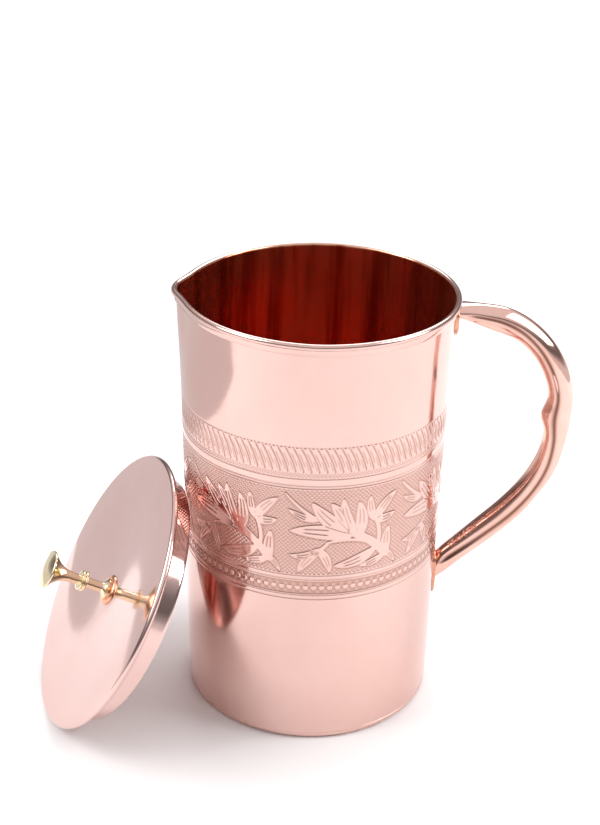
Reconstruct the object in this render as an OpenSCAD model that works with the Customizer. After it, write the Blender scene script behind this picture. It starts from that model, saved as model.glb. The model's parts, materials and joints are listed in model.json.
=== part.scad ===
// Copper water jug with a pinched pouring lip, a hollow brazed handle and a loose lid.
// Origin: centre of the jug's resting ring, on the surface it stands on. +Z is up along the
// jug, +X runs to the handle, and the pouring lip faces -X. Sizes are in millimetres.

/* [Jug] */
// Height to the top of the rolled rim
jug_h = 189; // [150:1:240]
// Outer radius of the wall at the top
wall_top_r = 57.8; // [48:0.1:70]
// Outer radius of the wall at the base
wall_base_r = 54.6; // [46:0.1:68]
// Thickness of the copper sheet of the wall
sheet_t = 0.6; // [0.5:0.1:1]

/* [Rolled rim] */
// Outer radius of the rolled bead
bead_r = 1.35; // [1.2:0.05:2]
// Length of the hem that the bead's edge ends in
hem_l = 2.55; // [1.5:0.05:5]
// Gap between the hem and the wall
hem_gap = 0.15; // [0.1:0.05:0.3]
// Clearance round the wire inside the bead
wire_gap = 0.05; // [0.03:0.01:0.1]

/* [Pouring lip] */
// How far the tip of the lip stands out
lip_reach = 1; // [0:0.1:4]
// Half width of the tip, in degrees round the rim
lip_half_angle = 9; // [6:1:16]
// How far the rim is pinched in on both sides of the tip
pinch_depth = 2.6; // [0:0.1:5]
// Height over which the lip fades into the wall
lip_fade_h = 46; // [25:1:70]

/* [Base] */
// Thickness of the base plate
base_t = 0.8; // [0.6:0.1:1.5]
// Radius of the outer bottom corner
base_corner_r = 3; // [1.5:0.1:5]
// Height of the joint between the base plate and the wall
base_seam_z = 3.5; // [3:0.1:8]
// Height of the lap of the base plate inside the wall
base_lap_h = 6.5; // [4:0.5:14]
// Width of the flat ring that the jug rests on
rest_ring_w = 5; // [3:0.5:10]
// How far the middle of the base is pushed up
base_dish = 1.5; // [0.5:0.1:4]

/* [Handle] */
// Wall thickness of the handle tube
handle_t = 0.8; // [0.5:0.1:1.2]
// Height of the middle of the handle's upper end
handle_top_z = 181.7; // [140:0.1:235]
// Height of the middle of the handle's lower end
handle_low_z = 57.6; // [40:0.1:90]
// Furthest reach of the handle's middle line from the jug's axis
handle_reach = 105; // [90:0.5:130]
// Half thickness of the handle in its own plane, at the grip
handle_half_w = 5.4; // [4:0.1:8]
// Half thickness of the handle across its plane, at the grip
handle_half_d = 5.8; // [4:0.1:8]

/* [Handle pads] */
// Width of the upper pad
upper_pad_w = 15; // [12:0.5:24]
// How far the upper pad's tip reaches below the handle's end
upper_pad_drop = 8; // [4:0.5:14]
// Width of the lower pad
lower_pad_w = 13; // [10:0.5:22]
// How far the lower pad's tip reaches below the handle's end
lower_pad_drop = 8; // [4:0.5:14]
// Distance from the wall to the handle's end
pad_t = 0.9; // [0.9:0.05:1.6]

/* [Lid] */
// Outer radius of the lid
lid_r = 62.4; // [50:0.1:76]
// Thickness of the lid's sheet
lid_t = 0.8; // [0.6:0.1:1.2]
// Radius of the folded edge
lid_edge_r = 1.4; // [1:0.05:2.2]
// How far the middle of the lid lies below its edge
lid_dish = 2.6; // [1:0.1:6]
// Outer radius of the sleeve that fits the mouth
sleeve_r = 55.6; // [45:0.1:66]
// Thickness of the sleeve
sleeve_t = 0.7; // [0.5:0.1:1]
// Depth from the top of the lid to the end of the sleeve
sleeve_end = 12; // [8:0.5:20]

/* [Lid at rest] */
// Angle of the lid's axis above level as it leans on the jug
lean_up = 28.6; // [15:0.1:45]
// Direction in which the lid lies, in degrees from -X towards -Y
lean_dir = 15.3; // [0:0.1:40]
// Clearance between the sleeve and the jug
lean_gap = 0.3; // [0.2:0.05:1]

/* [Knob] */
// Height of the knob above its washer
knob_h = 30; // [20:0.5:45]
// Radius of the knob's cap
knob_cap_r = 8.4; // [6:0.1:12]
// Radius of the knob's stem
knob_stem_r = 2.2; // [2.1:0.1:4]
// Radius of the double collar
knob_collar_r = 4.5; // [3.5:0.1:7]
// Height of the middle of the collar above the knob's foot
knob_collar_z = 12; // [11.5:0.5:14]
// Radius of the knob's foot
knob_foot_r = 4.6; // [4:0.1:8]
// Radius of the washer under the knob
washer_r = 6.8; // [5:0.1:10]
// Thickness of the washer under the knob
washer_t = 1.2; // [0.8:0.1:2]

/* [Knob screw] */
// Radius of the screw's shank
screw_r = 1.5; // [1.2:0.1:1.6]
// Radius of the screw's head
screw_head_r = 3.6; // [3:0.1:5]
// Height of the screw's head
screw_head_h = 1.8; // [1.2:0.1:3]
// How far the screw runs into the knob
screw_grip = 7; // [4:0.5:9]
// Radius of the washer under the lid
inner_washer_r = 6; // [4.5:0.1:9]
// Thickness of the washer under the lid
inner_washer_t = 0.8; // [0.5:0.1:1.5]
// Clearance of the screw in the washers and the lid
screw_clear = 0.2; // [0.1:0.05:0.4]
// Clearance of the screw in the knob's thread
thread_clear = 0.05; // [0.02:0.01:0.1]

/* [Hidden] */
$fn = 96;
COPPER = [0.87, 0.58, 0.47];
DEEP_COPPER = [0.78, 0.45, 0.34];
BRASS = [0.87, 0.72, 0.45];
STEEL = [0.72, 0.73, 0.75];

sectors = 90;                                  // steps round the jug
handle_sides = 20;                             // sides of the handle tube
wire_sides = 8;
pad_fn = 720;                                  // fine, so that a pad follows the wall
lap_gap = 0.08;                                // base lap to the inside of the wall
bead_mid_r = wall_top_r - sheet_t + bead_r;    // where the bead's middle runs
bead_mid_z = jug_h - bead_r;
hollow_r = bead_r - sheet_t;                   // the bead's bore, which holds the wire
wire_r = hollow_r - wire_gap;
hem_low_z = bead_mid_z - bead_r - hem_l;

// Points on an arc from angle a0 to a1
function arc(x, y, r, a0, a1, steps) =
    [for (i = [0:steps]) let (a = a0 + (a1 - a0) * i / steps) [x + r * cos(a), y + r * sin(a)]];
function smooth(u) = let (v = min(1, max(0, u))) v * v * (3 - 2 * v);
function lerp(a, b, u) = a + (b - a) * u;

// Outer radius of the wall at a height
function wall_r(z) = lerp(wall_base_r, wall_top_r, z / jug_h);

// The pouring lip: how far the rim moves in or out at an angle from the tip
function pinch_shape(a) = sin(180 * pow(min(1, a / 90), 0.62)) * (1 - exp(-pow(a / lip_half_angle, 2)));
function lip_shape(a) = lip_reach * exp(-pow(a / lip_half_angle, 2)) - pinch_depth * pinch_shape(a);
function lip_fade(z) = smooth((z - jug_h + lip_fade_h) / (lip_fade_h - bead_r - hem_l));
function from_tip(angle) = abs(angle - 180);
function lip(angle, z) = lip_shape(from_tip(angle)) * lip_fade(z);

// A point [radius, height] of the wall's section, carried round to an angle
function around(p, angle) =
    let (r = p[0] + lip(angle, p[1])) [r * cos(angle), r * sin(angle), p[1]];
function ring_angles() = [for (i = [0:sectors - 1]) i * 360 / sectors];

// Rings of equal length joined each to the next, and the last to the first
module ring_skin(rings) {
    n = len(rings);
    m = len(rings[0]);
    polyhedron(
        points = [for (ring = rings) each ring],
        faces = [for (i = [0:n - 1], j = [0:m - 1])
            let (a = i * m + j, b = i * m + (j + 1) % m,
                 c = ((i + 1) % n) * m + (j + 1) % m, d = ((i + 1) % n) * m + j)
            each [[a, b, c], [a, c, d]]]);
}

// ---- Jug ----

// Heights at which the wall has a ring of points
wall_levels = [for (u = [0, 0.35, 0.7]) lerp(base_seam_z, jug_h - lip_fade_h, u),
               for (u = [0, 0.2, 0.4, 0.6, 0.8]) lerp(jug_h - lip_fade_h, hem_low_z, u)];

wall_section = concat(
    [for (z = wall_levels) [wall_r(z) - sheet_t, z]],
    arc(bead_mid_r, bead_mid_z, bead_r, 180, -90, 9),
    [[bead_mid_r, hem_low_z]],
    [[wall_top_r + hem_gap, hem_low_z]],
    arc(bead_mid_r, bead_mid_z, hollow_r, -acos(-(bead_mid_r - wall_top_r - hem_gap) / hollow_r), 180, 8),
    [for (i = [len(wall_levels) - 1:-1:0]) [wall_r(wall_levels[i]), wall_levels[i]]]);

// One sheet: the wall, rolled outwards at the rim over a wire and ending in a hem
module body_shell() {
    color(COPPER)
        ring_skin([for (angle = ring_angles()) [for (p = wall_section) around(p, angle)]]);
}

module rim_wire() {
    section = arc(bead_mid_r, bead_mid_z, wire_r, 0, -360 * (wire_sides - 1) / wire_sides, wire_sides - 1);
    color(STEEL)
        ring_skin([for (angle = ring_angles())
            [for (p = section)
                let (r = p[0] + lip(angle, bead_mid_z)) [r * cos(angle), r * sin(angle), p[1]]]]);
}

// A shallow pan: it closes the jug, carries it on a flat ring and laps inside the wall
module base_plate() {
    seam_r = wall_r(base_seam_z);
    lap_r = (seam_r - sheet_t) * cos(180 / sectors) - lap_gap;
    ring_in = seam_r - base_corner_r - rest_ring_w;
    slope = 2 * base_dish;
    color(COPPER) rotate_extrude() polygon(concat(
        [[0, base_dish], [ring_in - slope, base_dish], [ring_in, 0]],
        arc(seam_r - base_corner_r, base_corner_r, base_corner_r, -90, 0, 8),
        [[seam_r, base_seam_z], [lap_r, base_seam_z], [lap_r, base_seam_z + base_lap_h],
         [lap_r - base_t, base_seam_z + base_lap_h]],
        arc(lap_r - base_t - 2, base_t + 2, 2, 0, -90, 6),
        [[ring_in, base_t], [ring_in - slope, base_dish + base_t], [0, base_dish + base_t]]));
}

// ---- Handle ----

upper_end_x = bead_mid_r + 0.25;               // just outside the hem
lower_end_x = wall_r(handle_low_z) + pad_t;

// Middle line of the handle. Each row is x, z, half thickness in the handle's plane, half
// thickness across it, and the angle of its section, from 0 (upright) through 90 (level,
// pointing away from the jug) to 180. Shares run from 0 at the jug to 1 at the full reach,
// and from 0 at the lower end to 1 at the upper end.
function station(x_share, z_share, w_share, d_share, turn) =
    [lerp(upper_end_x, handle_reach, x_share), lerp(handle_low_z, handle_top_z, z_share),
     handle_half_w * w_share, handle_half_d * d_share, turn];
stations = [
    [upper_end_x, handle_top_z, handle_half_w * 0.6, handle_half_d * 1.12, 0],
    station(0.20, 0.988, 0.78, 1.10, 6),
    station(0.42, 0.968, 0.98, 1.04, 12),
    station(0.62, 0.930, 1.00, 1.00, 26),
    station(0.80, 0.868, 1.00, 1.00, 45),
    station(0.93, 0.790, 0.98, 1.00, 64),
    station(1.00, 0.700, 0.97, 1.00, 84),
    station(0.985, 0.612, 1.12, 1.00, 94),
    station(0.978, 0.525, 0.96, 1.00, 99),
    station(0.925, 0.430, 0.98, 1.00, 116),
    station(0.800, 0.335, 1.00, 1.00, 127),
    station(0.610, 0.240, 1.04, 0.98, 132),
    station(0.360, 0.145, 1.04, 0.94, 136),
    station(0.110, 0.058, 0.98, 0.88, 148),
    [lower_end_x, handle_low_z, handle_half_w * 1.16, handle_half_d * 0.84, 180]];

// A smooth curve through the rows, by the Catmull-Rom rule
function row(i) = stations[min(len(stations) - 1, max(0, i))];
function between(i, u) =
    let (a = row(i - 1), b = row(i), c = row(i + 1), d = row(i + 2))
    (2 * b + (c - a) * u + (2 * a - 5 * b + 4 * c - d) * u * u
     + (3 * b - a - 3 * c + d) * u * u * u) / 2;
handle_steps = 2;
handle_rows = [for (i = [0:len(stations) - 2], k = [0:handle_steps - 1]) between(i, k / handle_steps),
               stations[len(stations) - 1]];

// The ring of a row, drawn in by the tube's wall
function tube_ring(s, inset) =
    [for (j = [0:handle_sides - 1])
        let (a = 360 * j / handle_sides, w = (s[2] - inset) * cos(a), d = (s[3] - inset) * sin(a))
        [s[0] + w * sin(s[4]), d, s[1] + w * cos(s[4])]];

module handle() {
    last = len(handle_rows) - 1;
    color(COPPER)
        ring_skin(concat([for (s = handle_rows) tube_ring(s, 0)],
                         [for (i = [last:-1:0]) tube_ring(handle_rows[i], handle_t)]));
}

// A brazing pad: a leaf of copper that fills the space from the wall to the handle's end
module pad(end_x, top_z, tip_z, width) {
    side = width / 2;
    shoulder_z = lerp(tip_z, top_z, 0.5);
    difference() {
        translate([end_x - 4, 0, 0]) rotate([90, 0, 90]) linear_extrude(4)
            polygon([[-side * 0.8, top_z], [-side, lerp(shoulder_z, top_z, 0.6)], [-side, shoulder_z],
                     [-side * 0.45, lerp(tip_z, shoulder_z, 0.3)], [-1, tip_z], [1, tip_z],
                     [side * 0.45, lerp(tip_z, shoulder_z, 0.3)], [side, shoulder_z],
                     [side, lerp(shoulder_z, top_z, 0.6)], [side * 0.8, top_z]]);
        cylinder(h = jug_h, r1 = wall_base_r, r2 = wall_top_r, $fn = pad_fn);
    }
}

module handle_upper_pad() {
    end_low_z = handle_top_z - stations[0][2];
    color(DEEP_COPPER)
        pad(upper_end_x, hem_low_z - 0.1, end_low_z - upper_pad_drop, upper_pad_w);
}

module handle_lower_pad() {
    half = stations[len(stations) - 1][2];
    color(DEEP_COPPER)
        pad(lower_end_x, handle_low_z + half + 1.5, handle_low_z - half - lower_pad_drop, lower_pad_w);
}

// ---- Lid, drawn upright with its edge's top at height 0, then set down leaning on the jug ----

screw_hole_r = screw_r + screw_clear;
washer_top_z = washer_t - lid_dish;

// The lid stands on its edge, or on the sleeve's end where that reaches lower
lean_z = max(lid_edge_r * (1 + sin(lean_up)) + (lid_r - lid_edge_r) * cos(lean_up),
             sleeve_end * sin(lean_up) + sleeve_r * cos(lean_up));
touch_z = lean_z + sleeve_r * cos(lean_up) - sleeve_end * sin(lean_up);
lean_out = wall_r(touch_z) + lean_gap + sleeve_end * cos(lean_up) + sleeve_r * sin(lean_up);

module leaning() {
    rotate([0, 0, 180 + lean_dir]) translate([lean_out, 0, lean_z]) rotate([0, 90 - lean_up, 0]) children();
}

// Top surface of the lid's sheet: a flat seat for the washers, a dish, and level near the edge
seat_r = max(washer_r, inner_washer_r) + 0.5;
level_r = sleeve_r - 2;
function lid_top(r) = -lid_dish * (1 - smooth((r - seat_r) / (level_r - seat_r)));
lid_radii = [for (i = [0:10]) lerp(seat_r, level_r, i / 10)];

module lid_pan() {
    edge = lid_r - lid_edge_r;
    fold_end = -180 - asin(1 - lid_t / lid_edge_r);
    color(COPPER) leaning() rotate_extrude() polygon(concat(
        [[screw_hole_r, -lid_dish]], [for (r = lid_radii) [r, lid_top(r)]],
        arc(edge, -lid_edge_r, lid_edge_r, 90, fold_end, 14),
        [for (i = [len(lid_radii) - 1:-1:0]) [lid_radii[i], lid_top(lid_radii[i]) - lid_t]],
        [[screw_hole_r, -lid_dish - lid_t]]));
}

module lid_sleeve() {
    color(COPPER) leaning() rotate_extrude()
        translate([sleeve_r - sleeve_t, -sleeve_end]) square([sleeve_t, sleeve_end - lid_t]);
}

module knob() {
    thread_r = screw_r + thread_clear;
    bore_z = screw_grip + 0.5;
    collar_half = 1.4;
    flare_z = knob_h * 0.66;
    rim_z = knob_h - 2.2;
    foot_h = 3.4;
    color(BRASS) leaning() translate([0, 0, washer_top_z]) rotate_extrude() polygon(concat(
        [[thread_r, 0], [knob_foot_r, 0], [knob_foot_r, 0.7]],
        [for (i = [1:6]) let (u = i / 6)
            [lerp(knob_foot_r, knob_stem_r, 1 - pow(1 - u, 2.5)), lerp(0.7, foot_h, u)]],
        [[knob_stem_r, knob_collar_z - collar_half]],
        arc(knob_collar_r - 0.6, knob_collar_z - collar_half + 0.6, 0.6, -90, 90, 6),
        [[knob_collar_r - 0.9, knob_collar_z - 0.2], [knob_collar_r - 0.9, knob_collar_z + 0.2]],
        arc(knob_collar_r - 0.6, knob_collar_z + collar_half - 0.6, 0.6, -90, 90, 6),
        [[knob_stem_r, knob_collar_z + collar_half], [knob_stem_r, lerp(knob_collar_z, flare_z, 0.6)]],
        [for (i = [0:10]) let (u = i / 10)
            [lerp(knob_stem_r + 0.3, knob_cap_r, pow(u, 2.2)), lerp(flare_z - 2, rim_z, u)]],
        arc(knob_cap_r - 0.4, rim_z + 0.4, 0.4, 0, 90, 4),
        [for (i = [1:6]) let (u = i / 6) [(knob_cap_r - 0.4) * (1 - u), lerp(rim_z + 0.8, knob_h, sin(90 * u))]],
        [[0, bore_z], [thread_r, bore_z]]));
}

module knob_washer() {
    color(DEEP_COPPER) leaning() translate([0, 0, -lid_dish]) rotate_extrude()
        polygon([[screw_hole_r, 0], [washer_r, 0], [washer_r, washer_t * 0.5],
                 [washer_r - 0.8, washer_t * 0.9], [washer_r - 1.4, washer_t], [screw_hole_r, washer_t]]);
}

inner_face_z = -lid_dish - lid_t;

module inner_washer() {
    color(BRASS) leaning() translate([0, 0, inner_face_z - inner_washer_t]) difference() {
        cylinder(h = inner_washer_t, r = inner_washer_r);
        translate([0, 0, -1]) cylinder(h = inner_washer_t + 2, r = screw_hole_r);
    }
}

module knob_screw() {
    head_z = inner_face_z - inner_washer_t;
    color(BRASS) leaning() difference() {
        rotate_extrude() polygon(concat(
            [[0, head_z - screw_head_h]],
            [for (i = [1:5]) let (u = i / 5)
                [screw_head_r * sin(90 * u), head_z - screw_head_h * cos(65 * u)]],
            [[screw_head_r, head_z], [screw_r, head_z], [screw_r, washer_top_z + screw_grip],
             [0, washer_top_z + screw_grip]]));
        translate([-screw_head_r, -0.5, head_z - screw_head_h - 1]) cube([2 * screw_head_r, 1, 1.8]);
    }
}

body_shell();
rim_wire();
base_plate();
handle();
handle_upper_pad();
handle_lower_pad();
lid_pan();
lid_sleeve();
knob();
knob_washer();
inner_washer();
knob_screw();
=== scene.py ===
"""Copper water jug with an engraved band, a hollow handle and a loose lid that leans on it."""

import json
import math

import bpy
import numpy as np
from mathutils import Matrix, Vector

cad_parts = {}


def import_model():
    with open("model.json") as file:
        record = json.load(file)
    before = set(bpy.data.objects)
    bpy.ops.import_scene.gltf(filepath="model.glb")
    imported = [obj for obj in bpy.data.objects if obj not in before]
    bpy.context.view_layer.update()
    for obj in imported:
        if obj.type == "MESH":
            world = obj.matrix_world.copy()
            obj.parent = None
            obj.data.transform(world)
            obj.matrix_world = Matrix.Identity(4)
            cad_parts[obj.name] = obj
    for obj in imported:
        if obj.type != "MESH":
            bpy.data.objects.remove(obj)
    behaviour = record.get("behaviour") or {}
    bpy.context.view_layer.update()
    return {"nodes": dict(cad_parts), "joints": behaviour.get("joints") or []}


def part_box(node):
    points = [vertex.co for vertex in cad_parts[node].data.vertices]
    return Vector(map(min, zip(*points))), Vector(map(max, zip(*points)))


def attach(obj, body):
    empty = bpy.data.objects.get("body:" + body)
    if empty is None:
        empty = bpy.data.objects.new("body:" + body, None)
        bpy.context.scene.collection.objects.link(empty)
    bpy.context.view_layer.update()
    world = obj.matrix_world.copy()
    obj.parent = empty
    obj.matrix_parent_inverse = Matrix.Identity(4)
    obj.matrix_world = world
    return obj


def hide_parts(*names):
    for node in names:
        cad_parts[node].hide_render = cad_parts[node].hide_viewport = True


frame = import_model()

MM = 0.001
TAU = 2 * math.pi

# ---- Driving sizes, in millimetres, in the frame of the CAD model ----

jug_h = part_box("body_shell")[1].z / MM
wall_top_r, wall_base_r, sheet_t = 57.8, 54.6, 0.6
bead_r, hem_l, hem_gap = 1.35, 2.55, 0.15
lip_reach, lip_half_angle, pinch_depth, lip_fade_h = 1.0, 9.0, 2.6, 46.0
base_t, base_corner_r, base_seam_z = 0.8, 3.0, 3.5
rest_ring_w, base_dish = 5.0, 1.5
lap_top_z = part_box("base_plate")[1].z / MM
handle_top_z, handle_low_z, handle_reach = 181.7, 57.6, 105.0
handle_half_w, handle_half_d, handle_t = 5.4, 5.8, 0.8
pad_t, pad_drop, upper_pad_w, lower_pad_w = 0.9, 8.0, 15.0, 13.0
lid_r, lid_t, lid_edge_r, lid_dish = 62.4, 0.8, 1.4, 2.6
sleeve_r, sleeve_t, sleeve_end = 55.6, 0.7, 12.0
knob_h, knob_cap_r, knob_stem_r = 30.0, 8.4, 2.2
knob_collar_r, knob_collar_z, knob_foot_r = 4.5, 12.0, 4.6
washer_r, washer_t, screw_hole_r = 6.8, 1.2, 1.7

# The lid is flat inside seat_r and level outside level_r
seat_r, level_r = washer_r + 0.5, sleeve_r - 2

bead_mid_r = wall_top_r - sheet_t + bead_r
bead_mid_z = jug_h - bead_r
hem_low_z = bead_mid_z - bead_r - hem_l
hollow_r = bead_r - sheet_t

# Steps round the jug: the engraved band has FINE, the rest of the wall has COARSE
REPEATS = 7
TILE_STEPS = 224
FINE = REPEATS * TILE_STEPS
STEPS_PER_COARSE = 4
COARSE = FINE // STEPS_PER_COARSE


# ---- Small helpers ----

def smooth(u):
    """0 below 0 and 1 above 1, with a smooth rise between."""
    v = np.clip(u, 0, 1)
    return v * v * (3 - 2 * v)


def lerp(a, b, u):
    return a + (b - a) * u


def arc(x, y, r, start, end, steps):
    """Points [x, y] on an arc, angles in degrees."""
    return [[x + r * math.cos(a), y + r * math.sin(a)]
            for a in np.radians(np.linspace(start, end, steps + 1))]


def wall_r(z):
    """Outer radius of the wall at a height."""
    return lerp(wall_base_r, wall_top_r, z / jug_h)


def lip(angle, z):
    """How far the pouring lip moves the wall in or out, at angles in radians round the jug."""
    a = np.abs(np.degrees(angle) % 360 - 180)
    tip = np.exp(-(a / lip_half_angle) ** 2)
    pinch = np.sin(math.pi * np.minimum(1, a / 90) ** 0.62) * (1 - tip)
    fade = smooth((z - jug_h + lip_fade_h) / (lip_fade_h - bead_r - hem_l))
    return (lip_reach * tip - pinch_depth * pinch) * fade


# ---- Mesh building ----

def set_depths(mesh, depths):
    """Stores a value from 0 to 1 at each point, read as recess by the materials: how deep the wall's
    engraving cuts, for the dark of old polish there, and how strongly the handle is creased, for a painted
    dark reflection along its flanks.
    """
    mesh.attributes.new("recess", "FLOAT", "POINT").data.foreach_set("value", depths)


def build_mesh(name, points, faces, sharp=40.0):
    """A mesh from points in millimetres and lists of faces: each list is an array with a row per face."""
    mesh = bpy.data.meshes.new(name)
    corners = np.concatenate([f.ravel() for f in faces]).astype(np.int32)
    sizes = np.concatenate([np.full(len(f), f.shape[1]) for f in faces])
    starts = np.concatenate([[0], np.cumsum(sizes)[:-1]]).astype(np.int32)
    mesh.vertices.add(len(points))
    mesh.vertices.foreach_set("co", (np.asarray(points) * MM).astype(np.float32).ravel())
    mesh.loops.add(len(corners))
    mesh.loops.foreach_set("vertex_index", corners)
    mesh.polygons.add(len(sizes))
    mesh.polygons.foreach_set("loop_start", starts)
    mesh.update(calc_edges=True)
    mesh.validate()
    mesh.polygons.foreach_set("use_smooth", np.ones(len(mesh.polygons), bool))
    mesh.set_sharp_from_angle(angle=math.radians(sharp))
    return mesh


def ring_faces(first, second, count):
    """Quads between two rings of points, given by the index of each ring's first point."""
    j = np.arange(count)
    k = (j + 1) % count
    return np.stack([first + j, second + j, second + k, first + k], axis=1)


def skin(rings, closed):
    """Points and faces of equal rings, each joined to the next; closed joins the last to the first."""
    rings = np.asarray(rings, float)
    n, m = rings.shape[:2]
    last = n if closed else n - 1
    faces = [ring_faces(i * m, ((i + 1) % n) * m, m) for i in range(last)]
    return rings.reshape(-1, 3), [np.concatenate(faces)]


def lathe(profile, steps=128):
    """Points and faces of a profile of [radius, height] turned about Z.

    The profile runs clockwise, and an end at radius 0 becomes one point.
    """
    angle = np.arange(steps) * TAU / steps
    profile = [tuple(p) for p in profile]
    start_pole, end_pole = profile[0][0] < 1e-6, profile[-1][0] < 1e-6
    body = profile[1 if start_pole else 0:len(profile) - (1 if end_pole else 0)]
    rings = [np.stack([r * np.cos(angle), r * np.sin(angle), np.full(steps, z)], axis=1) for r, z in body]
    closed = not (start_pole or end_pole)
    points, faces = skin(rings, closed)
    j = np.arange(steps)
    k = (j + 1) % steps
    if start_pole:
        pole = len(points)
        points = np.vstack([points, [0, 0, profile[0][1]]])
        faces.append(np.stack([np.full(steps, pole), j, k], axis=1))
    if end_pole:
        pole = len(points)
        ring = (len(body) - 1) * steps
        points = np.vstack([points, [0, 0, profile[-1][1]]])
        faces.append(np.stack([ring + j, np.full(steps, pole), ring + k], axis=1))
    return points, faces


def add_piece(name, mesh, body, node, slot, *materials, place=None):
    """Shows a mesh in place of a CAD node. place puts a mesh that was made upright where it belongs."""
    for material in materials:
        mesh.materials.append(material)
    own = np.zeros(len(mesh.vertices) * 3, np.float32)
    mesh.vertices.foreach_get("co", own)
    mesh.attributes.new("own", "FLOAT_VECTOR", "POINT").data.foreach_set("vector", own)
    if place is not None:
        mesh.transform(place)
    piece = bpy.data.objects.new(name, mesh)
    bpy.context.scene.collection.objects.link(piece)
    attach(piece, body)
    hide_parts(node)


# ---- Materials ----

class Nodes:
    """Short names for building a material's nodes."""

    def __init__(self, name, upright=False):
        self.material = bpy.data.materials.new(name)
        self.material.use_nodes = True
        self.tree = self.material.node_tree
        self.shader = self.tree.nodes["Principled BSDF"]
        if upright:                             # the piece's points as they were before it was set down
            own = self.add("ShaderNodeAttribute")
            own.attribute_name = "own"
            self.coords = own.outputs["Vector"]
        else:
            self.coords = self.add("ShaderNodeTexCoord").outputs["Object"]

    def add(self, kind, **inputs):
        node = self.tree.nodes.new(kind)
        for key, value in inputs.items():
            self.put(node.inputs[key.replace("_", " ")], value)
        return node

    def put(self, socket, value):
        if isinstance(value, bpy.types.NodeSocket):
            self.tree.links.new(value, socket)
        else:
            socket.default_value = value

    def scaled(self, scale):
        node = self.add("ShaderNodeMapping", Vector=self.coords)
        node.inputs["Scale"].default_value = scale
        return node.outputs["Vector"]

    def noise(self, vector, scale, detail=3.0, rough=0.55):
        node = self.add("ShaderNodeTexNoise", Vector=vector, Scale=scale, Detail=detail, Roughness=rough)
        return node.outputs["Fac"]

    def ramp(self, value, low, high, start=0.0, end=1.0):
        """Maps a value from start..end to low..high."""
        node = self.add("ShaderNodeMapRange", Value=value)
        for key, number in zip(("From Min", "From Max", "To Min", "To Max"), (start, end, low, high)):
            node.inputs[key].default_value = number
        return node.outputs["Result"]

    def math(self, operation, a, b=0.0):
        node = self.tree.nodes.new("ShaderNodeMath")
        node.operation = operation
        self.put(node.inputs[0], a)
        self.put(node.inputs[1], b)
        return node.outputs[0]

    def mix(self, factor, a, b):
        node = self.tree.nodes.new("ShaderNodeMix")
        node.data_type = "RGBA"
        self.put(node.inputs["Factor"], factor)
        self.put(node.inputs[6], a)
        self.put(node.inputs[7], b)
        return node.outputs[2]

    def turned(self, along, across):
        """Coordinates that change fast with height and with distance from the Z axis, as turning marks do."""
        parts = self.add("ShaderNodeSeparateXYZ", Vector=self.coords)
        x, y, z = parts.outputs[:3]
        square = self.math("ADD", self.math("MULTIPLY", x, x), self.math("MULTIPLY", y, y))
        out = self.math("ADD", self.math("SQRT", square), z)
        node = self.add("ShaderNodeCombineXYZ")
        self.put(node.inputs[0], self.math("MULTIPLY", x, along))
        self.put(node.inputs[1], self.math("MULTIPLY", y, along))
        self.put(node.inputs[2], self.math("MULTIPLY", out, across))
        return node.outputs[0]


def metal(name, bright, deep, roughness, brushed=None, blotch=28.0, wave_mm=0.0, brush_mm=0.004,
          oxide_and_shade=0.0, stain_and_shade=(0.36, 0.17, 0.12), streak=False, upright=True):
    """Polished metal: two tones in soft blotches, polishing marks and specks of tarnish.

    brushed turns the marks round the axis and wave_mm adds slow waves. The hollow darkening takes points,
    by their recess value times the given share, towards the darker colour given: the dark of old polish
    in the wall's engraving, but a painted dark reflection along the handle's creased flanks. streak adds
    runs of a darker colour down the piece, a painted reflection of the streaks in the brushed inside.
    """
    n = Nodes(name, upright)
    shader = n.shader
    shader.inputs["Metallic"].default_value = 1.0
    blotches = n.noise(n.scaled((1, 1, 0.7)), blotch, 4.0, 0.6)
    specks = n.noise(n.coords, 1400.0, 2.0)
    colour = n.mix(n.ramp(blotches, 0.0, 1.0, 0.35, 0.75), (*bright, 1), (*deep, 1))
    tarnish = n.ramp(specks, 0.0, 0.5, 0.66, 0.8)
    colour = n.mix(tarnish, colour, tuple(c * 0.72 for c in deep) + (1,))
    rough = n.ramp(blotches, roughness * 0.75, roughness * 1.35, 0.3, 0.7)
    if streak:
        # Painted reflection: darker runs down the piece stand in for the streaks that the brushed inside
        # reflects.
        runs = n.noise(n.scaled((1, 1, 0.05)), 95.0, 3.0, 0.65)
        colour = n.mix(n.ramp(runs, 0.0, 1.0, 0.46, 0.62), colour, (0.50, 0.13, 0.05, 1))
    if oxide_and_shade:
        # Darkening by the recess value: old polish in the wall's engraving, a painted dark reflection on the
        # handle.
        depth = n.add("ShaderNodeAttribute")
        depth.attribute_name = "recess"
        hollow = depth.outputs["Fac"]
        colour = n.mix(n.math("MULTIPLY", hollow, oxide_and_shade), colour, (*stain_and_shade, 1))
        rough = n.math("ADD", rough, n.math("MULTIPLY", hollow, 0.16))
    n.put(shader.inputs["Base Color"], colour)
    n.put(shader.inputs["Roughness"], rough)
    marks = n.turned(*brushed) if brushed else n.scaled((260, 260, 260))
    fine = n.add("ShaderNodeBump", Height=n.noise(marks, 1.0, 2.0), Strength=1.0, Distance=brush_mm * MM)
    normal = fine.outputs["Normal"]
    if wave_mm:
        waves = n.noise(n.coords, 34.0, 1.0, 0.4)
        slow = n.add("ShaderNodeBump", Height=waves, Strength=1.0, Distance=wave_mm * MM, Normal=normal)
        normal = slow.outputs["Normal"]
    n.put(shader.inputs["Normal"], normal)
    return n.material


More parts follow.
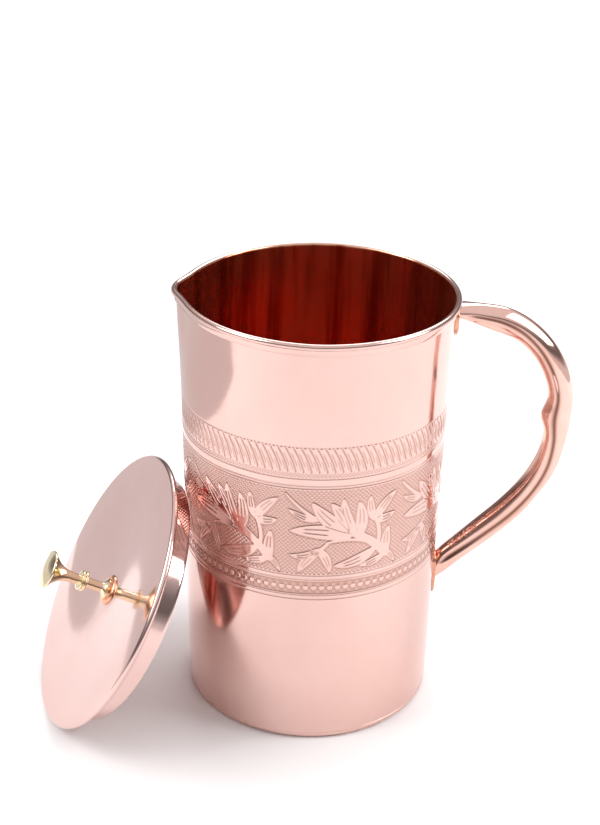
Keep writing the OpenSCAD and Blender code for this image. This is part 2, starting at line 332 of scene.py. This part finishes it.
ROSE, ROSE_DEEP = (0.81, 0.56, 0.505), (0.77, 0.51, 0.455)
wall_copper = metal("wall_copper", ROSE, ROSE_DEEP, 0.11, (30, 900), wave_mm=0.18, oxide_and_shade=0.6)
# The inside's darker runs are a painted reflection of the streaks its brushed polish shows.
inner_copper = metal("inner_copper", (0.95, 0.50, 0.33), (0.88, 0.38, 0.22), 0.18, (22, 800),
                     brush_mm=0.02, streak=True)
base_copper = metal("base_copper", ROSE, (0.80, 0.51, 0.44), 0.26, (30, 1200), wave_mm=0.2)
# The handle darkens its creased flanks almost to black: a painted dark reflection, not old polish.
handle_copper = metal("handle_copper", (0.89, 0.59, 0.51), (0.80, 0.46, 0.37), 0.09,
                      blotch=60.0, wave_mm=0.25, oxide_and_shade=0.95, stain_and_shade=(0.15, 0.05, 0.03))
lid_copper = metal("lid_copper", (0.82, 0.58, 0.54), (0.78, 0.54, 0.50), 0.10, (20, 1100), wave_mm=0.1)
# Painted shade: the pads get a darker copper than the wall, standing in for the shade they show against it.
pad_copper_painted_shade = metal("pad_copper_painted_shade", (0.78, 0.40, 0.27), (0.55, 0.24, 0.16), 0.28,
                     blotch=160.0, brush_mm=0.03)
washer_copper = metal("washer_copper", (0.93, 0.50, 0.33), (0.86, 0.42, 0.26), 0.16, (30, 2600))
knob_brass = metal("knob_brass", (0.92, 0.80, 0.58), (0.86, 0.70, 0.44), 0.11, (60, 2600), blotch=120.0)
wire_steel = metal("wire_steel", (0.66, 0.67, 0.69), (0.50, 0.50, 0.52), 0.35,
                   blotch=200.0, brush_mm=0.01, upright=False)
screw_brass = metal("screw_brass", (0.90, 0.74, 0.48), (0.80, 0.62, 0.36), 0.22,
                    blotch=200.0, brush_mm=0.01, upright=False)


# ---- The engraved band ----

mean_z = 100                                    # height at which a repeat's width is taken
tile_w = TAU * wall_r(mean_z) / REPEATS
band_top_z, band_low_z = 145.1, 71.6
flowers_low_z, flowers_top_z = 85.3, 124.7
border_low_z, border_top_z = 130.4, 143.9
beads_low_z, beads_top_z = 75.5, 81.6
cut = 0.20                                      # depth of the engraving
slit = 0.42                                     # half width of a ruled line or a vein

# How many of each fit in one repeat
HATCHES, FEATHERS, BEADS, DASHES = 27, 16, 15, 32

# Lines ruled round the jug: height, and depth as a share of the cut
RULED = ((129.9, 0.8), (126.7, 0.7), (125.5, 0.9), (84.5, 0.9), (82.5, 0.8), (74.9, 0.9), (72.9, 0.9))

# Leaves of one repeat: base, tip, half width, bend. Places run along the jug and up from flowers_low_z
LEAVES = [
    ((15.5, 19.0), (0.2, 33.8), 3.9, 1.2),
    ((16.0, 19.5), (8.0, 33.6), 3.3, -0.8),
    ((17.0, 17.6), (-8.6, 20.4), 4.2, -1.2),
    ((19.4, 16.4), (12.9, 35.4), 3.1, 1.6),
    ((20.0, 16.2), (19.6, 33.4), 3.3, -1.2),
    ((3.0, 25.6), (-9.6, 30.4), 1.9, 1.0),
    ((28.0, 10.0), (9.6, 3.6), 3.2, 1.5),
    ((26.4, 23.4), (24.4, 35.2), 2.2, 0.6),
    ((26.6, 23.0), (36.8, 35.0), 2.8, 1.0),
    ((26.4, 23.8), (36.6, 24.8), 2.5, -1.0),
    ((33.2, 5.4), (33.8, 19.0), 2.9, 0.7),
    ((33.2, 6.2), (20.8, 2.6), 2.2, 0.9),
    ((32.0, 8.0), (38.0, 0.4), 1.6, 0.4),
    ((4.4, 12.0), (-8.8, 8.8), 2.4, 1.7),
    ((3.8, 12.4), (-5.2, 0.8), 2.7, -0.6),
    ((3.0, 12.6), (8.2, 0.8), 2.4, 0.9),
]
# Stems of one repeat: from, to, half width at each end, bend
STEMS = [
    ((33.0, 5.8), (18.4, 18.6), 1.9, 1.8, -1.0),
    ((1.4, 26.6), (-10.8, 37.6), 1.0, 0.4, 0.5),
    ((26.5, 12.6), (6.8, 15.0), 0.9, 0.6, -2.0),
    ((7.2, 15.2), (3.0, 11.4), 0.6, 1.0, 0.4),
    ((26.6, 25.2), (28.6, 9.8), 0.8, 1.0, 1.6),
]


def line(distance, half_width):
    """1 on a line, falling smoothly to 0 at its edges."""
    return 1 - smooth(np.abs(distance) / half_width)


def along_blade(s, v, base, tip, bend):
    """Share of the way from base to tip, and the distance in mm to the side of the bent middle line."""
    d = np.subtract(tip, base)
    length = math.hypot(*d)
    u = ((s - base[0]) * d[0] + (v - base[1]) * d[1]) / length ** 2
    side = ((v - base[1]) * d[0] - (s - base[0]) * d[1]) / length
    return u, side - bend * 4 * u * (1 - u), length


def leaf_depth(s, v, base, tip, half_width, bend):
    """How far inside a leaf a point lies, and how strongly its two slit veins cut it."""
    u, side, length = along_blade(s, v, base, tip, bend)
    inner = np.clip(u, 0.001, 0.999)
    width = 0.8 * half_width * np.sin(math.pi * inner ** 0.8) ** 0.6
    beyond = np.maximum(np.maximum(-u, u - 1), 0) * length
    depth = width - np.abs(side) - beyond
    vein = line(np.abs(side) - 0.34 * width, slit) * smooth((u - 0.36) / 0.06) * smooth((0.84 - u) / 0.1)
    return depth, vein


def stem_depth(s, v, start, end, half_start, half_end, bend):
    """How far inside a stem a point lies."""
    u, side, length = along_blade(s, v, start, end, bend)
    beyond = np.maximum(np.maximum(-u, u - 1), 0) * length
    return lerp(half_start, half_end, np.clip(u, 0, 1)) - np.abs(side) - beyond


def flowers(s, v):
    """Smooth raised leaves and stems on a cross-hatched ground."""
    outside = -9.0
    depth = np.full(s.shape, outside)
    under = np.full(s.shape, outside)           # depth in the second leaf, for the seam between two leaves
    stems = np.full(s.shape, outside)
    veins = np.zeros(s.shape)
    for shift in (-tile_w, 0, tile_w):
        for leaf in LEAVES:
            d, vein = leaf_depth(s + shift, v, *leaf)
            veins = np.where(d > depth, vein, veins)
            under = np.maximum(under, np.minimum(depth, d))
            depth = np.maximum(depth, d)
        for stem in STEMS:
            d = stem_depth(s + shift, v, *stem)
            veins = np.where(d > depth, 0, veins)
            stems = np.maximum(stems, d)
            depth = np.maximum(depth, d)
    veins = np.maximum(veins, line(depth - under, 0.55) * smooth((under - 0.1) / 0.3) * (stems < 0))
    pitch = tile_w / HATCHES
    one = 0.5 - 0.5 * np.cos(TAU * (s + v) / pitch)
    two = 0.5 - 0.5 * np.cos(TAU * (s - v) / pitch)
    ground = -cut * (1 - (one * two) ** 0.5)
    ground = lerp(ground, -cut * 1.15, line(depth + 0.3, 0.55))
    raised = smooth((depth + 0.12) / 0.3)
    return lerp(ground, -cut * veins, raised)


def feathers(s, z):
    """The slanted border above the flowers: curved feathers over a row of small bumps."""
    t = (border_top_z - z) / (border_top_z - border_low_z)
    pitch = tile_w / FEATHERS
    phase = s / pitch - 1.55 * t - 0.22 * np.sin(math.pi * t)
    share = phase % 1
    main = line((share - 0.5) * pitch, 0.62) * smooth((t - 0.01) / 0.05) * smooth((0.86 - t) / 0.08)
    second = line((phase + 0.66) % 1 * pitch - pitch / 2, slit)
    second = second * smooth((t - 0.16) / 0.08) * smooth((0.66 - t) / 0.08)
    third = line((phase + 0.3) % 1 * pitch - pitch / 2, 0.38)
    third = third * smooth((t - 0.4) / 0.08) * smooth((0.78 - t) / 0.06)
    bumps = 0.5 + 0.5 * np.cos(TAU * s / pitch * 2) * np.cos(math.pi * (t - 0.92) / 0.05)
    foot = smooth((t - 0.82) / 0.05) * smooth((0.99 - t) / 0.03)
    return -cut * (1.25 * main + 1.0 * second + 0.9 * third) * (1 - foot) - cut * 0.8 * foot * bumps


def bead_row(s, z):
    """A row of round beads on a cut ground."""
    pitch = tile_w / BEADS
    along = (s / pitch % 1 - 0.5) * pitch
    up = z - (beads_low_z + beads_top_z) / 2
    dot_r = 1.35
    bead = smooth((dot_r - np.hypot(along, up)) / 0.5)
    between = np.abs(along) - pitch / 2
    knot = line(np.hypot(between, np.abs(up) - 1.7) - 0.5, 0.35)
    return lerp(-cut * (1 - 0.6 * knot), 0.0, bead)


def engraving(s, z):
    """Height of the surface over the plain wall, in mm, at places along and up the jug."""
    inside = (z > flowers_low_z) & (z < flowers_top_z)
    h = np.where(inside, flowers(s, z - flowers_low_z), 0.0)
    h = np.where((z > border_low_z) & (z < border_top_z), feathers(s, z), h)
    h = np.where((z > beads_low_z) & (z < beads_top_z), bead_row(s, z), h)
    for at, depth in RULED:
        h = np.minimum(h, -cut * depth * line(z - at, slit))
    dashes = 0.65 + 0.35 * np.cos(TAU * s / tile_w * DASHES)
    return np.minimum(h, -cut * line(z - border_top_z, 0.5) * dashes)


# ---- Jug ----

def wander(angle, z):
    """Slow hand-made waves in the wall, in mm."""
    return (0.05 * np.sin(3 * angle + z / 31) + 0.03 * np.sin(5 * angle - z / 19 + 1.0)
            + 0.014 * np.sin(11 * angle + z / 9 + 2.0))


def wall_ring(r, z, steps, outer):
    """A ring of points of the wall; the outer face also wanders."""
    angle = np.arange(steps) * TAU / steps
    rr = r + lip(angle, z)
    if outer:
        rr = rr + wander(angle, z) * smooth((z - base_seam_z) / 12) * smooth((hem_low_z - z) / 12)
    return np.stack([rr * np.cos(angle), rr * np.sin(angle), np.full(steps, z)], axis=1)


def coarse_rows(profile, outer=False):
    """Rings of the plain wall for a profile of (radius, height)."""
    return [wall_ring(r, z, COARSE, outer) for r, z in profile]


def band_rows():
    """Rows of the engraved band from the top down, and how deep each point is cut, from 0 to 1."""
    pitch = tile_w / TILE_STEPS
    levels = np.linspace(band_top_z, band_low_z, round((band_top_z - band_low_z) / pitch) + 1)
    angle = np.arange(FINE) * TAU / FINE
    first = -0.25 * TAU                         # the middle of the tile faces -Y
    s = ((angle - first) / TAU * REPEATS % 1) * tile_w
    tile_s, place = np.unique(np.round(s, 6), return_inverse=True)
    grid_s, grid_z = np.meshgrid(tile_s, levels)
    h = engraving(grid_s, grid_z)[:, place]
    round_at, height = angle[None, :], levels[:, None]
    r = wall_r(height) + h + lip(round_at, height) + wander(round_at, height)
    z = np.repeat(levels[:, None], FINE, axis=1)
    points = np.stack([r * np.cos(angle), r * np.sin(angle), z], axis=2)
    return points, np.clip(-h / cut, 0, 1)


def steps_down(first, last, gap):
    """Heights from first to last, about gap apart."""
    return np.linspace(first, last, max(2, round(abs(first - last) / gap) + 1))


def body_shell():
    """One sheet: inner wall, rolled rim with its hem, outer wall and the engraved band."""
    inner_levels = steps_down(base_seam_z, bead_mid_z - 1, 3.0)
    inner = [(wall_r(z) - sheet_t, z) for z in inner_levels]
    bead = arc(bead_mid_r, bead_mid_z, bead_r, 180, -90, 22)
    gap_r = wall_top_r + hem_gap
    soft = 0.2
    hem = [(bead_mid_r, hem_low_z + soft), (bead_mid_r - soft, hem_low_z), (gap_r, hem_low_z)]
    turn = math.degrees(math.acos(-(bead_mid_r - gap_r) / hollow_r))
    hollow = arc(bead_mid_r, bead_mid_z, hollow_r, -turn, 180, 12)
    above = [(wall_r(z), z) for z in steps_down(bead_mid_z - 1, band_top_z + 1.0, 2.0)]
    below = [(wall_r(z), z) for z in steps_down(band_low_z - 1.0, base_seam_z, 2.5)]
    top = coarse_rows(inner + bead + hem + hollow) + coarse_rows(above, outer=True)
    band, cut_share = band_rows()
    low = coarse_rows(below, outer=True)

    top_points, top_faces = skin(top, closed=False)
    band_points, band_faces = skin(band, closed=False)
    low_points, low_faces = skin(low, closed=False)
    band_at = len(top_points)
    low_at = band_at + len(band_points)
    last_top = band_at - COARSE
    last_band = low_at - FINE
    j = np.arange(COARSE)
    k = (j + 1) % COARSE
    fine = [(STEPS_PER_COARSE * j + i) % FINE for i in range(STEPS_PER_COARSE + 1)]
    step_in = np.stack([last_top + j, *[band_at + f for f in fine], last_top + k], axis=1)
    step_out = np.stack([last_band + f for f in fine][::-1] + [low_at + j, low_at + k], axis=1)
    last_low = low_at + len(low_points) - COARSE
    under = ring_faces(last_low, 0, COARSE)
    points = np.vstack([top_points, band_points, low_points])
    faces = [top_faces[0], step_in, band_faces[0] + band_at, step_out, low_faces[0] + low_at, under]
    mesh = build_mesh("body_shell", points, faces, sharp=60)
    inside_faces = (len(inner) + 3) * COARSE    # the inner copper runs three steps onto the bead
    index = np.zeros(len(mesh.polygons), np.int32)
    index[:inside_faces] = 1
    mesh.polygons.foreach_set("material_index", index)
    recess = np.zeros(len(points), np.float32)
    recess[band_at:low_at] = cut_share.ravel()
    set_depths(mesh, recess)
    add_piece("jug_wall", mesh, "jug", "body_shell", "polished_copper", wall_copper, inner_copper)


def base_plate():
    """The pan that closes the jug, with its inner lap, round corner and resting ring."""
    seam_r = wall_r(base_seam_z)
    lap_r = seam_r - sheet_t - 0.1
    ring_in = seam_r - base_corner_r - rest_ring_w
    slope, fillet, soft, sag = 2 * base_dish, 2, 0.2, 0.04
    dish = [(ring_in - slope - 20 * u, base_dish * (1 - sag * u)) for u in (0, 0.5, 1)]
    profile = [(0, base_dish + base_t), (ring_in - slope, base_dish + base_t), (ring_in, base_t)]
    profile += arc(lap_r - base_t - fillet, base_t + fillet, fillet, -90, 0, 8)
    profile += [(lap_r - base_t, lap_top_z - soft), (lap_r - base_t + soft, lap_top_z),
                (lap_r - soft, lap_top_z), (lap_r, lap_top_z - soft), (lap_r, base_seam_z)]
    profile += [(seam_r - 0.15, base_seam_z), (seam_r, base_seam_z - 0.15)]
    profile += arc(seam_r - base_corner_r, base_corner_r, base_corner_r, 0, -90, 14)
    profile += [(ring_in, 0)] + dish + [(0, base_dish * (1 - sag))]
    mesh = build_mesh("base_plate", *lathe(profile, 180))
    add_piece("jug_base", mesh, "jug", "base_plate", "polished_copper", base_copper)


# ---- Handle ----

upper_end_x = bead_mid_r + 0.25
lower_end_x = wall_r(handle_low_z) + pad_t


def station(x_share, z_share, w_share, d_share, turn):
    """One row of STATIONS, given as shares of the handle's reach, height and thickness."""
    return [lerp(upper_end_x, handle_reach, x_share), lerp(handle_low_z, handle_top_z, z_share),
            handle_half_w * w_share, handle_half_d * d_share, turn]


# x, z, half thickness in the handle's plane, half thickness across it, and the section's angle
STATIONS = np.array([
    [upper_end_x, handle_top_z, handle_half_w * 0.6, handle_half_d * 1.12, 0],
    station(0.20, 0.988, 0.78, 1.10, 6),
    station(0.42, 0.968, 0.98, 1.04, 12),
    station(0.62, 0.930, 1.00, 1.00, 26),
    station(0.80, 0.868, 1.00, 1.00, 45),
    station(0.93, 0.790, 0.98, 1.00, 64),
    station(1.00, 0.700, 0.97, 1.00, 84),
    station(0.985, 0.612, 1.12, 1.00, 94),
    station(0.978, 0.525, 0.96, 1.00, 99),
    station(0.925, 0.430, 0.98, 1.00, 116),
    station(0.800, 0.335, 1.00, 1.00, 127),
    station(0.610, 0.240, 1.04, 0.98, 132),
    station(0.360, 0.145, 1.04, 0.94, 136),
    station(0.110, 0.058, 0.98, 0.88, 148),
    [lower_end_x, handle_low_z, handle_half_w * 1.16, handle_half_d * 0.84, 180]])
handle_end = len(STATIONS) - 1


def on_handle(t):
    """The handle's row at t, which runs from 0 at the rim to handle_end, by the Catmull-Rom rule."""
    i = min(int(t), handle_end - 1)
    u = t - i
    a, b, c, d = (STATIONS[min(handle_end, max(0, k))] for k in (i - 1, i, i + 1, i + 2))
    return (2 * b + (c - a) * u + (2 * a - 5 * b + 4 * c - d) * u ** 2 + (3 * b - a - 3 * c + d) * u ** 3) / 2


# Marks left by bending and hammering: place along, angle round in degrees, the spread of each, height
MARKS = [
    (6.95, 180, 0.55, 50, 0.9),
    (7.6, 178, 0.5, 34, -0.5),
    (5.4, 95, 0.9, 34, -0.45),
    (5.4, 265, 0.9, 34, -0.45),
    (9.1, 40, 0.22, 22, -0.35),
    (10.0, 330, 0.3, 26, -0.3),
    (1.6, 205, 0.8, 26, 0.7),
    (1.4, 235, 0.9, 20, -0.9),
    (1.4, 125, 0.9, 20, -0.9),
]


def handle():
    """A hollow tube, pressed flat at the rim, creased down both flanks and softly faceted by hammering."""
    sides, per_station = 64, 14
    crease_depth, crease_spread, crease_wander = 0.55, 13, 14
    turn = np.arange(sides) * TAU / sides
    degrees = np.degrees(turn)
    outer, inner, painted_crease_reflection = [], [], []
    for t in np.linspace(0, handle_end, handle_end * per_station + 1):
        x, z, w, d, tilt = on_handle(t)
        tilt = math.radians(tilt)
        ends = smooth(t / 1.2) * smooth((handle_end - t) / 1.2)
        facets = 0.16 * np.cos(5 * turn + 0.5 * t) + 0.10 * np.cos(3 * turn - 0.8 * t + 1)
        grow = facets * ends
        for at, round_at, spread, spread_round, height in MARKS:
            off = (degrees - round_at + 180) % 360 - 180
            grow = grow + height * np.exp(-((t - at) / spread) ** 2 - (off / spread_round) ** 2)
        crease = np.zeros(sides)
        sway = crease_wander * math.sin(0.7 * t + 0.6)
        for middle in (98 - sway, 262 + sway):  # one crease down each flank
            off = (degrees - middle + 180) % 360 - 180
            crease = crease + np.exp(-(off / crease_spread) ** 2)
        crease = crease * smooth((t - 0.1) / 0.8) * smooth((handle_end - 0.1 - t) / 0.8)
        grow = grow - crease_depth * crease
        # Painted dark reflection: how creased each point is, for the material to draw the dark line the
        # polished tube reflects down each flank.
        painted_crease_reflection.append(crease ** 1.6)
        for ring, extra in ((outer, grow), (inner, -handle_t)):
            up, across = (w + extra) * np.cos(turn), (d + extra) * np.sin(turn)
            ring.append(np.stack([x + up * math.sin(tilt), across, z + up * math.cos(tilt)], axis=1))
    points, faces = skin(outer + inner[::-1], closed=True)
    faces = [f[:, ::-1] for f in faces]
    mesh = build_mesh("handle", points, faces, sharp=50)
    # Painted reflection: the crease strength goes on the outer rings, where the handle's colour darkens it.
    dark = np.zeros(len(points), np.float32)
    dark[:len(painted_crease_reflection) * sides] = np.concatenate(painted_crease_reflection)   # the outer rings come first
    set_depths(mesh, dark)
    add_piece("handle_tube", mesh, "jug", "handle", "handle_copper", handle_copper)


def pad(name, node, end_x, top_z, tip_z, width):
    """A leaf of copper brazed to the wall behind one end of the handle, with a soft edge."""
    middle_z, half = lerp(tip_z, top_z, 0.62), width / 2
    ring = []
    for a in np.linspace(0, TAU, 72, endpoint=False):
        c, s = math.cos(a), math.sin(a)
        if s >= 0:
            y, z = half * abs(c) ** 0.6 * math.copysign(1, c), middle_z + (top_z - middle_z) * s ** 0.5
        else:
            y, z = half * c * abs(c) ** 0.25, middle_z + (middle_z - tip_z) * s
        ring.append((y, z))
    ring = np.array(ring)
    centre = np.array([0, middle_z])

    def layer(scale, x=None):
        """The leaf's outline at a scale, on the wall or, where x stands further out, at x."""
        flat = centre + (ring - centre) * scale
        depth = np.sqrt(wall_r(flat[:, 1]) ** 2 - flat[:, 0] ** 2) + 0.02
        front = depth if x is None else np.maximum(depth, x)
        return np.stack([front, flat[:, 0], flat[:, 1]], axis=1)

    rings = [layer(0.2), layer(0.6), layer(1.0), layer(1.0, end_x - 0.35), layer(0.98, end_x - 0.1),
             layer(0.93, end_x), layer(0.5, end_x), layer(0.15, end_x)]
    points, faces = skin(rings, closed=True)
    faces = [f[:, ::-1] for f in faces]
    mesh = build_mesh(name, points, faces)
    # The pad's darker copper is painted shade.
    add_piece(name, mesh, "jug", node, "brazed_copper", pad_copper_painted_shade)


def pads():
    """The pad under the rim, below the hem, and the pad round the handle's lower end."""
    upper_half, lower_half = STATIONS[0][2], STATIONS[-1][2]
    pad("upper_pad", "handle_upper_pad", upper_end_x, hem_low_z - 0.1,
        handle_top_z - upper_half - pad_drop, upper_pad_w)
    pad("lower_pad", "handle_lower_pad", lower_end_x, handle_low_z + lower_half + 1.5,
        handle_low_z - lower_half - pad_drop, lower_pad_w)


# ---- Lid, made upright with its edge's top at height 0, then set where the CAD lid is ----

def lid_matrix():
    """The lid's own axes, from its joint's axis and the middle of the washer under the knob."""
    axis = Vector(frame["joints"][0]["axis"]).normalized()
    low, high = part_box("knob_washer")
    middle = (low + high) / 2
    origin = middle - axis * (washer_t / 2 - lid_dish) * MM
    return Matrix.Translation(origin) @ axis.to_track_quat("Z", "Y").to_matrix().to_4x4()


lid_place = lid_matrix()


def add_lid_piece(name, node, slot, material, profile, steps):
    """Turns a profile and sets it where the lid is."""
    mesh = build_mesh(name, *lathe(profile, steps))
    add_piece(name, mesh, "lid", node, slot, material, place=lid_place)


def lid_top(r):
    """A flat seat for the washers, a dish, and level near the edge."""
    return -lid_dish * (1 - smooth((r - seat_r) / (level_r - seat_r)))


def lid_pan():
    """The dished sheet with its edge folded under."""
    edge = lid_r - lid_edge_r
    radii = np.linspace(seat_r, level_r, 34)
    fold_end = -180 - math.degrees(math.asin(1 - lid_t / lid_edge_r))
    profile = [(screw_hole_r, -lid_dish), (washer_r - 1, -lid_dish)]
    profile += [(r, lid_top(r)) for r in radii]
    profile += arc(edge, -lid_edge_r, lid_edge_r, 90, fold_end, 26)
    profile += [(r, lid_top(r) - lid_t) for r in radii[::-1]] + [(screw_hole_r, -lid_dish - lid_t)]
    add_lid_piece("lid_pan_sheet", "lid_pan", "lid_copper", lid_copper, profile, 256)


def lid_sleeve():
    """The ring under the lid, with soft lower edges."""
    inner_r, soft = sleeve_r - sleeve_t, 0.3
    top_z = -lid_t
    profile = [(inner_r, -sleeve_end + soft), (inner_r, top_z), (sleeve_r, top_z)]
    profile += [(sleeve_r, z) for z in np.linspace(top_z - 1, -sleeve_end + soft, 10)]
    knee = 0.3 * soft
    profile += [(sleeve_r - knee, -sleeve_end + knee), (sleeve_r - soft, -sleeve_end),
                (inner_r + soft, -sleeve_end), (inner_r + knee, -sleeve_end + knee)]
    add_lid_piece("lid_sleeve_ring", "lid_sleeve", "lid_copper", lid_copper, profile, 256)


def knob():
    """Turned brass: a flared foot, a stem with a double collar, and a wide cap."""
    base_z = washer_t - lid_dish
    collar_half, bulge, foot_h = 1.4, 0.6, 3.4
    flare_z, rim_z = knob_h * 0.66, knob_h - 2.2
    up = [(knob_foot_r - 0.2, 0.0), (knob_foot_r, 0.2), (knob_foot_r, 0.7)]
    up += [(lerp(knob_foot_r, knob_stem_r, 1 - (1 - u) ** 2.5), lerp(0.7, foot_h, u))
           for u in np.linspace(0.08, 1, 12)]
    up += [(knob_stem_r, z) for z in np.linspace(foot_h + 0.8, knob_collar_z - collar_half, 7)]
    up += arc(knob_collar_r - bulge, knob_collar_z - collar_half + bulge, bulge, -90, 90, 12)
    up += [(knob_collar_r - 0.9, knob_collar_z - 0.2), (knob_collar_r - 0.9, knob_collar_z + 0.2)]
    up += arc(knob_collar_r - bulge, knob_collar_z + collar_half - bulge, bulge, -90, 90, 12)
    up += [(knob_stem_r, knob_collar_z + collar_half), (knob_stem_r, lerp(knob_collar_z, flare_z, 0.6))]
    up += [(lerp(knob_stem_r + 0.3, knob_cap_r, u ** 2.2), lerp(flare_z - 2, rim_z, u))
           for u in np.linspace(0, 1, 26)]
    up += arc(knob_cap_r - 0.4, rim_z + 0.4, 0.4, 0, 90, 8)
    up += [((knob_cap_r - 0.4) * (1 - u), lerp(rim_z + 0.8, knob_h, math.sin(math.pi / 2 * u)))
           for u in np.linspace(0.05, 0.97, 16)]
    profile = [(0, knob_h)] + up[::-1] + [(0, 0.0)]
    profile = [(r, z + base_z) for r, z in profile]
    add_lid_piece("knob_turned", "knob", "knob_brass", knob_brass, profile, 96)


def knob_washer():
    """A domed copper cup under the knob's foot."""
    z = -lid_dish
    profile = [(screw_hole_r, z), (screw_hole_r, z + washer_t), (washer_r - 1.5, z + washer_t)]
    profile += [(washer_r - 1.1, z + washer_t * 0.97), (washer_r - 0.5, z + washer_t * 0.78),
                (washer_r - 0.1, z + washer_t * 0.45), (washer_r, z + washer_t * 0.2), (washer_r - 0.1, z)]
    add_lid_piece("knob_washer_cup", "knob_washer", "brazed_copper", washer_copper, profile, 96)


def give_material(node, material):
    """Puts a material on a CAD node whose shape is right."""
    mesh = frame["nodes"][node].data
    mesh.materials.clear()
    mesh.materials.append(material)


body_shell()
base_plate()
handle()
pads()
lid_pan()
lid_sleeve()
knob()
knob_washer()
give_material("rim_wire", wire_steel)
give_material("inner_washer", screw_brass)
give_material("knob_screw", screw_brass)


# ---- Studio ----

def floor():
    """A white table with rounded corners, set askew, so that one edge shows in the lid."""
    n = Nodes("floor_white")
    n.shader.inputs["Roughness"].default_value = 0.9
    n.shader.inputs["Specular IOR Level"].default_value = 0.1
    tone = n.ramp(n.noise(n.coords, 6.0), 0.94, 0.98)
    n.put(n.shader.inputs["Base Color"], n.mix(tone, (0.0, 0.0, 0.0, 1), (1.0, 1.0, 1.0, 1)))
    steps, half_x, half_y, shift_x, boxy = 256, 600, 900, 325, 0.4
    askew = math.radians(40)
    a = np.arange(steps) * TAU / steps
    x = np.copysign(np.abs(np.cos(a)) ** boxy, np.cos(a)) * half_x + shift_x
    y = np.copysign(np.abs(np.sin(a)) ** boxy, np.sin(a)) * half_y
    points = np.stack([x * math.cos(askew) + y * math.sin(askew), y * math.cos(askew) - x * math.sin(askew),
                       np.full(steps, -0.05)], axis=1)
    mesh = build_mesh("floor", points, [np.arange(steps)[None, :]])
    mesh.materials.append(n.material)
    ground = bpy.data.objects.new("floor", mesh)
    bpy.context.scene.collection.objects.link(ground)


def world():
    """White to the camera; to the metal, a grey room with a pale ceiling."""
    w = bpy.data.worlds.new("studio")
    bpy.context.scene.world = w
    w.use_nodes = True
    tree = w.node_tree
    tree.nodes.clear()
    coords = tree.nodes.new("ShaderNodeTexCoord")
    parts = tree.nodes.new("ShaderNodeSeparateXYZ")
    ramp = tree.nodes.new("ShaderNodeValToRGB")
    height = tree.nodes.new("ShaderNodeMapRange")
    height.inputs["From Min"].default_value = -1.0
    tree.links.new(coords.outputs["Generated"], parts.inputs[0])
    tree.links.new(parts.outputs[2], height.inputs["Value"])
    tree.links.new(height.outputs["Result"], ramp.inputs["Fac"])
    stops = [(0.0, 0.78), (0.49, 0.78), (0.52, 0.42), (0.57, 0.16), (0.66, 0.22), (0.80, 0.8), (1.0, 0.9)]
    while len(ramp.color_ramp.elements) < len(stops):
        ramp.color_ramp.elements.new(0.5)
    for element, (place, value) in zip(ramp.color_ramp.elements, stops):
        element.position = place
        element.color = (value, value * 0.97, value * 0.98, 1)
    lit, shown = tree.nodes.new("ShaderNodeBackground"), tree.nodes.new("ShaderNodeBackground")
    tree.links.new(ramp.outputs["Color"], lit.inputs["Color"])
    shown.inputs["Color"].default_value = (1, 1, 1, 1)
    shown.inputs["Strength"].default_value = 1.1
    rays = tree.nodes.new("ShaderNodeLightPath")
    mix = tree.nodes.new("ShaderNodeMixShader")
    out = tree.nodes.new("ShaderNodeOutputWorld")
    tree.links.new(rays.outputs["Is Camera Ray"], mix.inputs["Fac"])
    tree.links.new(lit.outputs[0], mix.inputs[1])
    tree.links.new(shown.outputs[0], mix.inputs[2])
    tree.links.new(mix.outputs[0], out.inputs["Surface"])


def softbox(name, place, size, power):
    """A rectangular lamp turned to the middle of the jug."""
    light = bpy.data.lights.new(name, "AREA")
    light.shape = "RECTANGLE"
    light.size, light.size_y = size
    light.energy = power
    lamp = bpy.data.objects.new(name, light)
    bpy.context.scene.collection.objects.link(lamp)
    lamp.location = place
    aim = Vector((0, 0, 0.08)) - Vector(place)
    lamp.rotation_mode = "QUATERNION"
    lamp.rotation_quaternion = aim.to_track_quat("-Z", "Y")


def camera():
    """The camera, by its place, its angles and its focal length."""
    place = Vector((-0.0013, -0.5769, 0.4120))
    pitch, yaw, roll = math.radians(25.9), math.radians(-0.48), math.radians(1.42)
    forward = Vector((math.sin(yaw) * math.cos(pitch), math.cos(yaw) * math.cos(pitch), -math.sin(pitch)))
    level = Vector((math.cos(yaw), -math.sin(yaw), 0))
    upright = level.cross(forward)
    right = math.cos(roll) * level + math.sin(roll) * upright
    up = -math.sin(roll) * level + math.cos(roll) * upright
    turn = Matrix((right, up, -forward)).transposed().to_4x4()
    data = bpy.data.cameras.new("camera")
    data.sensor_width = 36.0
    data.lens = 64.9047
    data.clip_start, data.clip_end = 0.01, 20.0
    eye = bpy.data.objects.new("camera", data)
    bpy.context.scene.collection.objects.link(eye)
    eye.matrix_world = Matrix.Translation(place) @ turn
    bpy.context.scene.camera = eye


floor()
world()
softbox("key", (-1.0, -0.25, 0.95), (0.7, 0.8), 8.5)
softbox("fill", (1.0, -0.15, 0.85), (0.6, 0.8), 7.5)
softbox("back", (0.15, 0.95, 1.05), (1.0, 0.5), 6.0)
camera()
bpy.context.scene.view_settings.view_transform = "Standard"
bpy.context.scene.cycles.glossy_bounces = 10     # light finds its way out of the deep polished jug
